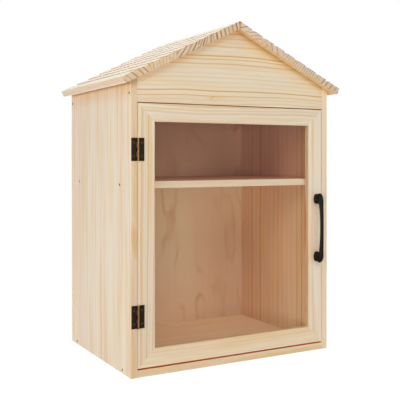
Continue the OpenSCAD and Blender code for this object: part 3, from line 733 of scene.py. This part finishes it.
BOARDS = {
    "left_side_panel": dict(UPRIGHT, strip=0.058, shift=0.3, ring=0.0085, spread=0.6, bend=0.022, contrast=0.34,
        streaks=0.8, fine=130, seed=11.3, edge=PANEL_EDGE, inward=(RIGHT,), tone=(1.01, 1.03, 1.06),
        roof_shade=((off_left, 0.036, PAINTED_EAVE_SHADE),),
        marks=((FRONT, (-0.196, -0.145, 0.226), (0.134, 0.0, -0.991), 0.040, 0.009, AMBER),)),
    # the right panel's inner paints warm bounce light and shade on its inner face
    "right_side_panel": dict(UPRIGHT, strip=0.14, shift=0.1, ring=0.016, far=0.07, contrast=0.34, bold=0.85,
        seed=23.6, streaks=0.5, thin=0.58, uneven=1.0, bend=0.006, fine=90, edge=(0.97, 0.95, 0.89),
        inward=(LEFT,), inner=(1.18, 0.935, 0.675), roof_shade=((off_right, 0.022, PAINTED_SHELTER_SHADE),),
        marks=(
            # painted light near the floor, and painted shade by the stile and in the far corner
            (LEFT, (0.19, -0.11, 0.0), UP, 0.16, 0.20, PAINTED_LOW_LIGHT),
            (LEFT, (0.19, -0.12, 0.30), UP, 0.20, 0.13, PAINTED_STILE_SHADE),
            (LEFT, (0.19, 0.145, 0.09), UP, 0.17, 0.14, PAINTED_CORNER_SHADE),
        )),
    # the bottom board's inner paints light on its inner face
    "bottom_board": dict(SHELF, contrast=0.4, seed=31.2, inward=(UP,), inner=(1.21, 1.11, 0.915),
        # painted shade on the bottom board under the door
        other_edge=(0.90, 0.86, 0.74), marks=((UP, (0.0, -0.145, 0.0), RIGHT, 5.0, 0.024, PAINTED_GAP_SHADE),)),
    # the shelf's tone is partly painted light, as it stands in shade behind the door frame
    "shelf": dict(SHELF, contrast=0.15, streaks=0.15, seed=47.9, inward=(UP, DOWN), tone=(1.08, 1.01, 0.92)),
    "front_gable_board": dict(GABLE, seed=58.4, inward=(BACK,), other_edge=PAINTED_GAP_LIGHT,
        # the gable gets painted light in the crease under the left verge, and painted shade under the right one
        roof_shade=((off_left, 0.016, LIT_CREASE), (off_right, 0.016, PAINTED_MUSTARD_SHADE), (off_right, 0.034, SHADY)),
        marks=(
            (FRONT, (-0.049, -0.145, 0.4646), (0.72, 0.0, 0.69), 0.0085, 0.0022, KNOT),
            (FRONT, (-0.043, -0.145, 0.463), RIGHT, 0.030, 0.006, KNOT_GLOW),
        )),
    "rear_gable_board": dict(GABLE, seed=66.1, inward=(FRONT,),
        roof_shade=((off_left, 0.034, SHADY), (off_right, 0.034, SHADY))),
    # the left panel's underside_light is painted light
    "left_roof_panel": dict(ROOF, across=down_left, through=off_left, seed=71.7, strips=LEFT_STRIPS,
        underside_light=(1.3, 1.25, 1.12), ends_tone=(0.88, 0.81, 0.70)),
    "right_roof_panel": dict(ROOF, across=down_right, through=off_right, seed=83.5, strips=RIGHT_STRIPS,
        ends_tone=(0.87, 0.83, 0.78)),
}
print("boards of the cabinet:", len(BOARDS))

# %% [markdown]
# The door has two stiles and two rails round the pane, and four thin beads behind it. The handle stile has
# painted light round the handle, where its shadow falls, and painted shade at its feet. The bead beside it has
# a red streak at the height of the handle, and painted light on its front face.

# %% The door's boards
NARROW = dict(grain=UP, across=RIGHT, through=BACK)
STILE = dict(NARROW, bend=0.02, far=0.06)
RAIL = dict(CROSSWISE, bend=0.02, far=0.08)
# a bead's inner paints warm shade on its back face
BEAD = dict(ring=0.0040, inward=(BACK,), inner=(1.04, 0.94, 0.85))

# painted light round the handle where its shadow falls, and painted shade at its feet
PAINTED_HANDLE_LIGHT = (1.08, 1.01, 0.91)
FOOT_SHADE = (0.97, 0.91, 0.82)
# painted light on the bead's front face, in the thin gap behind the pane
PAINTED_BEAD_LIGHT = (1.22, 0.95, 0.66)
# a red-brown streak on the bead's side, at the height of the handle
RED_STREAK = (0.85, 0.34, 0.15)

BOARDS |= {
    # the hinge stile's other_edge is painted light on the side of the gap by the hinge
    "door_hinge_stile": dict(STILE, ring=0.0056, contrast=0.8, seed=92.8, edge=(0.50, 0.36, 0.25),
        other_edge=(1.25, 1.12, 0.90), tone=(0.915, 0.92, 0.86)),
    "door_handle_stile": dict(STILE, ring=0.0066, lean=0.6, contrast=0.4, seed=104.2, edge=PAINTED_GAP_LIGHT,
        other_edge=(0.65, 0.49, 0.35), tone=(0.985, 1.02, 1.05),
        marks=(
            # painted light and painted shade round the handle
            (FRONT, (0.171, -0.145, 0.230), UP, 0.080, 0.030, PAINTED_HANDLE_LIGHT),
            (FRONT, (0.1767, -0.145, 0.284), UP, 0.018, 0.018, FOOT_SHADE),
            (FRONT, (0.1767, -0.145, 0.176), UP, 0.018, 0.018, FOOT_SHADE),
        )),
    "door_top_rail": dict(RAIL, ring=0.0052, seed=113.9, edge=PAINTED_GAP_LIGHT, other_edge=(0.80, 0.52, 0.32),
        tone=(0.95, 0.97, 0.94)),
    # the bottom rail's other_edge is painted shade in the gap under the door
    "door_bottom_rail": dict(RAIL, ring=0.0060, seed=127.4, edge=PANEL_EDGE, other_edge=(0.95, 0.45, 0.20),
        tone=(0.97, 0.94, 0.84)),
    "left_bead": dict(NARROW, **BEAD, seed=131.1),
    # the right bead's other_edge is painted light on its side by the opening
    "right_bead": dict(NARROW, **BEAD, seed=143.6, other_edge=(1.22, 1.0, 0.80),
        marks=(
            # painted light on the bead's front face
            (FRONT, (0.0, 0.0, 0.0), UP, 5.0, 5.0, PAINTED_BEAD_LIGHT),
            (LEFT, (0.0, 0.0, 0.238), UP, 0.062, 5.0, RED_STREAK),
        )),
    "top_bead": dict(CROSSWISE, **BEAD, seed=151.8),
    "bottom_bead": dict(CROSSWISE, **BEAD, seed=167.3),
}
print("all pine boards:", len(BOARDS))

# %% [markdown]
# The strips of a roof panel are counted from the ridge, and those of any other board from its middle.

# %% Dress the boards
def dress(node, material):
    """Puts one material on every material slot of a packed node."""
    for slot in nodes[node].material_slots:
        slot.material = material


for node, facts in BOARDS.items():
    across, through = facts["across"], facts["through"]
    if "roof" in node:
        facts = {**facts, "centre": float(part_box(node)[1][2]) * across[2], "eave": end_of(node, across)}
    else:
        facts = {**facts, "centre": middle_of(node, across)}
    heads = heads_in(WALL[node]) if node in WALL else ()
    dress(node, pine("pine_" + node, middle=middle_of(node, through), heads=heads, **facts))
print("pine boards dressed:", len(BOARDS))

# %% [markdown]
# ## Plywood
#
# The back panel is faced with peeled veneer. The knife goes round the log, so it cuts each ring at a very
# flat angle, and the figure is wide: islands, loops and long tongues. So the finish takes the contour lines
# of a smooth hilly surface that is stretched along the grain. The inner face has painted shade near the floor,
# painted light under the shelf, and above it painted light at the left and warmer painted shade at the right.

# %% The back panel
VENEER, PINK_VENEER, VENEER_LATE = colour(240, 204, 166), colour(238, 194, 158), colour(216, 148, 92)
# painted shade and painted light on the back panel's inner face
PAINTED_FLOOR_SHADE = (0.87, 0.86, 0.84)
PAINTED_SHELF_LIGHT = (1.15, 1.40, 1.42)
PAINTED_LEFT_LIGHT = (1.15, 1.10, 1.03)
PAINTED_RIGHT_SHADE = (0.96, 0.86, 0.80)
OUTER_FACE = (0.96, 1.09, 1.20)


def plywood(name, seed):
    """Peeled veneer. The height of a hilly surface, less its whole part, runs from 0 to 1 in each year."""
    bench = Bench(name)
    x, y, z = (bench.along(direction) for direction in (RIGHT, BACK, UP))
    hills = bench.noise(bench.point(x * 15 + seed, z * 5.5, 0.0), detail=1.5, rough=0.35)
    wobble = bench.noise(bench.point(x * 60, z * 22 + seed, 0.0))
    height = hills * 4.6 + wobble * 0.45
    season = height - height.floor()
    late = bench.rise(season, 0.60, 0.82) * (1 - bench.rise(season, 0.86, 0.98))
    fade = bench.rise(bench.noise(bench.point(x * 14, z * 5 + seed, 0.0)), 0.42, 0.68)
    fibre = bench.noise(bench.point(x * 150, z * 4 + seed, y * 150), rough=0.6)
    tint = bench.noise(bench.point(x * 6, z * 2.5 + seed, 0.0))
    base = bench.mix(bench.rise(tint, 0.3, 0.7), VENEER, PINK_VENEER)
    base = bench.mix(late * (fade * 0.55 + 0.04), base, VENEER_LATE)
    # painted shade near the floor, painted light under the shelf, and above it painted light at the left and shade at
    # the right
    painted_low = bench.mix(bench.rise(z, 0.02, 0.27), PAINTED_FLOOR_SHADE, PAINTED_SHELF_LIGHT)
    painted_high = bench.mix(bench.rise(x, -0.10, 0.08), PAINTED_LEFT_LIGHT, PAINTED_RIGHT_SHADE)
    painted_inner = bench.mix(above_shelf(bench), painted_low, painted_high)
    base = bench.mix(1.0, base, bench.mix(looks_to(bench, FRONT), OUTER_FACE, painted_inner), "MULTIPLY")
    return bench.end(bench.node("BsdfPrincipled", None, {
        "Base Color": bench.mix(1.0, base, bench.grey(1 + (fibre - 0.5) * 0.06), "MULTIPLY"),
        "Roughness": 0.62 + (fibre - 0.5) * 0.1,
        "Specular IOR Level": 0.3,
        "Normal": bench.node("Bump", None, {"Strength": 0.1, "Distance": 0.0001, "Height": fibre}),
    }))


dress("back_panel", plywood("pine_plywood", 5.2))
print("the plywood's middle in mm:", round(1000 * middle_of("back_panel", BACK), 1))

# %% [markdown]
# ## The clear pane
#
# The pane is a thin sheet of clear acrylic. What is behind it shows straight through, and a few parts in a
# hundred of the white room are mirrored on it. The share that is mirrored grows with the fifth power of how
# flat the surface is seen, on both faces alike. A Fresnel node would take the inner face for the way out of
# thick glass, and make it a full mirror when it is seen from above. The share mixes a transparent and a mirror
# shader, so the lamps light the shelves through it.

# %% Pane
def clear_sheet(name):
    bench = Bench(name)
    through = bench.node("BsdfTransparent", None, {"Color": (0.97, 0.975, 0.97, 1)})
    mirror = bench.node("BsdfGlossy", None, {"Color": (1, 1, 1, 1), "Roughness": 0.02})
    slant = bench.node("LayerWeight", None, {"Blend": 0.5}, "Facing")
    share = (slant * slant * slant * slant * slant * 0.98 + 0.014) * either_way(bench, BACK)
    return bench.end(bench.node("MixShader", None, {0: share, 1: through, 2: mirror}))


clear_acrylic = clear_sheet("clear_acrylic")
dress("door_pane", clear_acrylic)
print("clear pane ready")

# %% [markdown]
# ## Metals
#
# The hinges are thin pressed leaves in a dark antique bronze, with a painted highlight near their outer edges.
# Their barrel has rubbed bright on its front, partly wear and partly a painted highlight, so it shows as a gold
# line. The handle is cast iron with a satin black coat and a slightly hammered skin. The nails are dull steel,
# browned like the wood round them, and set just below it.

# %% Metal finishes
BARREL = (0.00185, 0.0021)  # metres from the pin's middle, between which the bright barrel ends
LEAF_HIGHLIGHT = (0.008, 0.0115)  # metres from the pin's middle, between which a painted highlight makes the leaf a little lighter


def metal(name, dark, light, rough, metallic, scale=900.0, bump=0.15, shine=0.5):
    """A metal that is mottled between two colours, with a fine uneven skin."""
    bench = Bench(name)
    patches = bench.noise(bench.place(), scale=scale, detail=4.0, rough=0.6)
    return bench.end(bench.node("BsdfPrincipled", None, {
        "Base Color": bench.mix(bench.rise(patches, 0.35, 0.65), dark, light),
        "Metallic": metallic,
        "Roughness": rough + (patches - 0.5) * 0.25,
        "Specular IOR Level": shine,
        "Normal": bench.node("Bump", None, {"Strength": bump, "Distance": 0.0002, "Height": patches}),
    }))


def antique_bronze(pin_node):
    """Dark bronze on the leaves, with a painted highlight near their edges, and worn brass and a painted highlight
    within a barrel's radius of the pin, on its front.
    """
    bench = Bench("antique_bronze_" + pin_node)
    patches = bench.noise(bench.place(), scale=1200.0, detail=4.0, rough=0.65)
    side, depth = (bench.along(way) - middle_of(pin_node, way) for way in (RIGHT, BACK))
    reach = (side * side + depth * depth).root()
    uneven = reach + (patches - 0.5) * 0.0008
    # worn is brass wear on the barrel, kept to its front as a painted highlight
    worn = (1 - bench.rise(uneven, *BARREL)) * looks_to(bench, FRONT, 0.45, 0.8)
    flecks = bench.rise(bench.noise(bench.place(), scale=700.0), 0.62, 0.72)
    dark = bench.mix(bench.rise(patches, 0.35, 0.7), colour(14, 9, 6), colour(46, 32, 22))
    # a painted highlight near the leaf's outer edge
    dark = bench.mix(bench.rise(reach, *LEAF_HIGHLIGHT) * 0.5, dark, colour(70, 48, 32))
    dark = bench.mix(flecks * 0.4, dark, colour(120, 96, 74))
    bright = bench.mix(bench.rise(patches, 0.3, 0.7), colour(108, 80, 38), colour(142, 112, 64))
    return bench.end(bench.node("BsdfPrincipled", None, {
        "Base Color": bench.mix(worn, dark, bright),
        "Metallic": worn * 0.3 + 0.6,
        "Roughness": 0.5 - worn * 0.12 + (patches - 0.5) * 0.2,
        "Specular IOR Level": 0.15,
        "Normal": bench.node("Bump", None, {"Strength": 0.2, "Distance": 0.0002, "Height": patches}),
    }))


for hinge in ("upper", "lower"):
    bronze = antique_bronze(hinge + "_hinge_pin")
    dress(hinge + "_frame_leaf", bronze)
    dress(hinge + "_door_leaf", bronze)

FINISHES = (  # name, darker colour, lighter colour, roughness, metallic, other settings, and the pieces
    ("worn_brass", (170, 128, 58), (216, 178, 104), 0.36, 0.9, {}, ("upper_hinge_pin", "lower_hinge_pin")),
    ("dark_bronze", (28, 19, 13), (60, 46, 34), 0.45, 0.7, {"scale": 1500},
     ("frame_leaf_screws", "door_leaf_screws")),
    ("dull_steel", (120, 66, 16), (150, 92, 34), 0.8, 0.0, {"scale": 1500, "shine": 0.05},
     ("roof_nails", "back_nails", "bead_pins", *SIDE_NAILS)),
    ("zinc_plate", (160, 162, 166), (196, 198, 202), 0.34, 1.0, {"scale": 500, "bump": 0.05},
     ("catch_pole_plates", "strike_plate", "catch_screws", "strike_screws", "handle_screws")),
    ("brown_plastic", (112, 78, 50), (124, 88, 58), 0.5, 0.0, {"scale": 2500, "bump": 0.1}, ("catch_housing",)),
    ("grey_ferrite", (48, 48, 50), (66, 66, 68), 0.6, 0.0, {"scale": 2500, "bump": 0.1}, ("catch_magnet",)),
)
for name, darker, lighter, rough, metallic, others, members in FINISHES:
    finish = metal(name, colour(*darker), colour(*lighter), rough, metallic, **others)
    for member in members:
        dress(member, finish)

satin_black = metal("satin_black_iron", colour(8, 4, 2), colour(24, 15, 10), 0.40, 0.0, 500.0, 0.35, shine=0.10)
print("small pieces dressed:", len(nodes) - len(BOARDS) - 2)

# %% [markdown]
# ## The handle
#
# The handle is one casting: two round-edged feet on the door, a fan that swings each foot out into the grip,
# and a grip that bows away from the door. It was cast in sand, so nothing on it is sharp. The packed solid has
# its true path in few faces, and the piece here follows that path with closer sections: each is a rounded
# rectangle that turns, narrows and rounds as it goes.

# %% The handle's sections
HANDLE_MIDDLE = np.array([176.7, -145.0, 230.0])  # mm, between the feet, on the door's face
HALF_SPAN = 43.6  # mm, from the middle to where the grip begins
FAN_OUT = 10.1  # mm, from the door to the point that the fan turns round
FOOT_UP = 54.0  # mm, from the middle to the middle of a foot
FOOT_HALF = (6.0, 9.4)  # mm, half the width and half the height of a foot
FAN_REACH = (9.6, 21.3)  # mm, from that point to the fan's rim, away from the door and along it
FAN_HALF = (5.76, 4.3)  # mm, half the fan's width, at the foot and at the grip
GRIP_OUT = (17.5, 2.1)  # mm, from the door to the middle of the grip, and how much less at its ends
GRIP_HALF = (3.25, 1.05)  # mm, half the grip's thickness in its middle, and how much more at its ends
SIDES = 56


def eased(share, stops, values):
    """The value at a share of the way, with a soft S from each stop to the next."""
    stops, values = np.array(stops), np.array(values)
    at = np.clip(np.searchsorted(stops, share, side="right") - 1, 0, len(stops) - 2)
    part = np.clip((share - stops[at]) / (stops[at + 1] - stops[at]), 0, 1)
    return values[at] + (values[at + 1] - values[at]) * part * part * (3 - 2 * part)


def section_rings(out, up, tilt, wide, thick, square):
    """Rings of points, one for each row of facts: rounded rectangles of half size wide and thick.

    A rounded rectangle is an oval whose cosine and sine are raised to 2 / square. The ring stands at out from the
    door and up from the middle, and tilt turns it from lying flat against the door (0) to facing along the grip (90).
    """
    turn = np.linspace(0, 2 * np.pi, SIDES, endpoint=False)
    facts = np.broadcast_arrays(out, up, tilt, wide, thick, square)
    out, up, tilt, wide, thick, square = (fact[:, None] for fact in facts)
    u = wide * np.sign(np.cos(turn)) * np.abs(np.cos(turn)) ** (2 / square)
    v = thick * np.sign(np.sin(turn)) * np.abs(np.sin(turn)) ** (2 / square)
    lean = np.radians(tilt)
    return np.stack([u, -(out + v * np.sin(lean)), up + v * np.cos(lean)], axis=-1)


foot_share = np.linspace(0, 0.92, 30)  # of the way from the door to where the fan turns
waist = eased(foot_share, [0, 0.06, 0.3, 0.45, 0.6, 0.75, 0.92], [0.97, 1.0, 1.0, 0.95, 0.86, 0.92, 0.97])
foot = section_rings(FAN_OUT * foot_share, FOOT_UP, 0.0, FOOT_HALF[0] * waist, FOOT_HALF[1] * waist, 2.6)

tilt = np.linspace(0, 90, 36)
sine, cosine = np.sin(np.radians(tilt)), np.cos(np.radians(tilt))
rim = 1 / np.sqrt((sine / FAN_REACH[0]) ** 2 + (cosine / FAN_REACH[1]) ** 2)
swell = sine ** 2
half_way = (rim + 1) / 2
fan_half = FAN_HALF[0] * (1 - swell) + FAN_HALF[1] * swell
fan = section_rings(
    FAN_OUT + half_way * sine, HALF_SPAN + half_way * cosine, tilt, fan_half, (rim - 1) / 2, 2.5 - 0.5 * swell,
)

grip_share = np.linspace(1, 0, 40)[1:]  # of the way from the middle to the fan
bow = grip_share ** 2
grip_half = GRIP_HALF[0] + GRIP_HALF[1] * bow
grip = section_rings(GRIP_OUT[0] - GRIP_OUT[1] * bow, HALF_SPAN * grip_share, 90.0, grip_half, grip_half, 2.0)

upper_half = np.concatenate([foot, fan, grip])
lower_half = upper_half[-2::-1] * (1, 1, -1)
rings = np.concatenate([upper_half, lower_half])
print("rings:", len(rings), "points:", rings[..., 0].size)

# %% [markdown]
# The lumps of the sand casting are waves a tenth of a millimetre deep, cut inwards so that the piece never
# grows past the packed one. The two ends lie on the door and are closed by a point in their middle.

# %% The handle's mesh
LUMPS = 0.022  # how deep the waves cut, as a share of the way to the middle of the section


def closed_tube(name, rings, smooth=True):
    """A mesh through rings of points, closed by a fan at both ends."""
    count, sides = rings.shape[:2]
    points = np.concatenate([rings.reshape(-1, 3), rings[[0, -1]].mean(axis=1)])
    row, side = np.meshgrid(np.arange(count - 1), np.arange(sides), indexing="ij")
    after = (side + 1) % sides
    here, above = row * sides, (row + 1) * sides
    quads = np.stack([here + side, here + after, above + after, above + side], -1)
    first, last = np.arange(sides), (count - 1) * sides + np.arange(sides)
    ends = [
        np.stack([np.roll(first, -1), first, np.full(sides, count * sides)], -1),
        np.stack([last, np.roll(last, -1), np.full(sides, count * sides + 1)], -1),
    ]
    faces = quads.reshape(-1, 4).tolist() + ends[0].tolist() + ends[1].tolist()
    mesh = bpy.data.meshes.new(name)
    mesh.from_pydata(points.tolist(), [], faces)
    mesh.polygons.foreach_set("use_smooth", np.full(len(faces), smooth))
    mesh.update()
    return mesh


def volume_of(piece):
    """The volume inside a closed mesh. It is positive only if the faces look outwards."""
    work = bmesh.new()
    work.from_mesh(piece.data)
    volume = work.calc_volume(signed=True)
    work.free()
    return volume


def waves(points):
    """Shallow uneven waves from 0 to 1 over points in mm."""
    x, y, z = points[..., 0], points[..., 1], points[..., 2]
    return (np.sin(1.3 * z + 0.9 * y + 1.1) * np.sin(0.9 * x - 1.2 * y + 0.4) * np.sin(0.7 * z - 0.8 * x) + 1) / 2


middles = rings.mean(axis=1, keepdims=True)
skin = middles + (rings - middles) * (1 - LUMPS * waves(rings)[..., None])
handle = add_object("cast_handle", closed_tube("cast_handle", (skin + HANDLE_MIDDLE) / 1000))
handle.data.materials.append(satin_black)
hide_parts("pull_handle")
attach(handle, "door")

print("handle faces:", len(handle.data.polygons), "volume in cubic cm:", round(1e6 * volume_of(handle), 2))

# %% [markdown]
# ## The pane as a piece
#
# Sawn acrylic has a fine bevel on its edges, and light gets between the sheet and its beads. The packed pane
# touches them, so this piece is the same sheet with the bevel, less two hundredths of a millimetre all round.

# %% The pane's mesh
HAIR = 0.00002  # metres between the sheet and the wood
BEVEL = 0.0002

low, high = (np.array(corner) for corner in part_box("door_pane"))
depths = np.array([high[1] - HAIR, high[1] - BEVEL, low[1] + BEVEL, low[1] + HAIR])
insets = np.array([BEVEL, HAIR, HAIR, BEVEL])
turns = np.array([(1, 1), (-1, 1), (-1, -1), (1, -1)])
halves = (high - low)[[0, 2]] / 2 - insets[:, None]
flat = (high + low)[[0, 2]] / 2 + turns[None] * halves[:, None]
sheet = np.stack([flat[..., 0], np.repeat(depths[:, None], 4, axis=1), flat[..., 1]], axis=-1)
pane = add_object("clear_sheet", closed_tube("clear_sheet", sheet, smooth=False))
pane.data.materials.append(clear_acrylic)
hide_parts("door_pane")
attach(pane, "door")
print("pane in mm:", [round(1000 * float(part), 2) for part in high - low])
print("its volume in cubic cm:", round(1e6 * volume_of(pane), 1))

# %% [markdown]
# ## The last setting
#
# The dressed object is meant to fill the same box as the packed one; only the packed box is written down, at the
# start.
# The picture keeps the standard view, with no film look.

# %% The view
bpy.context.scene.view_settings.view_transform = "Standard"
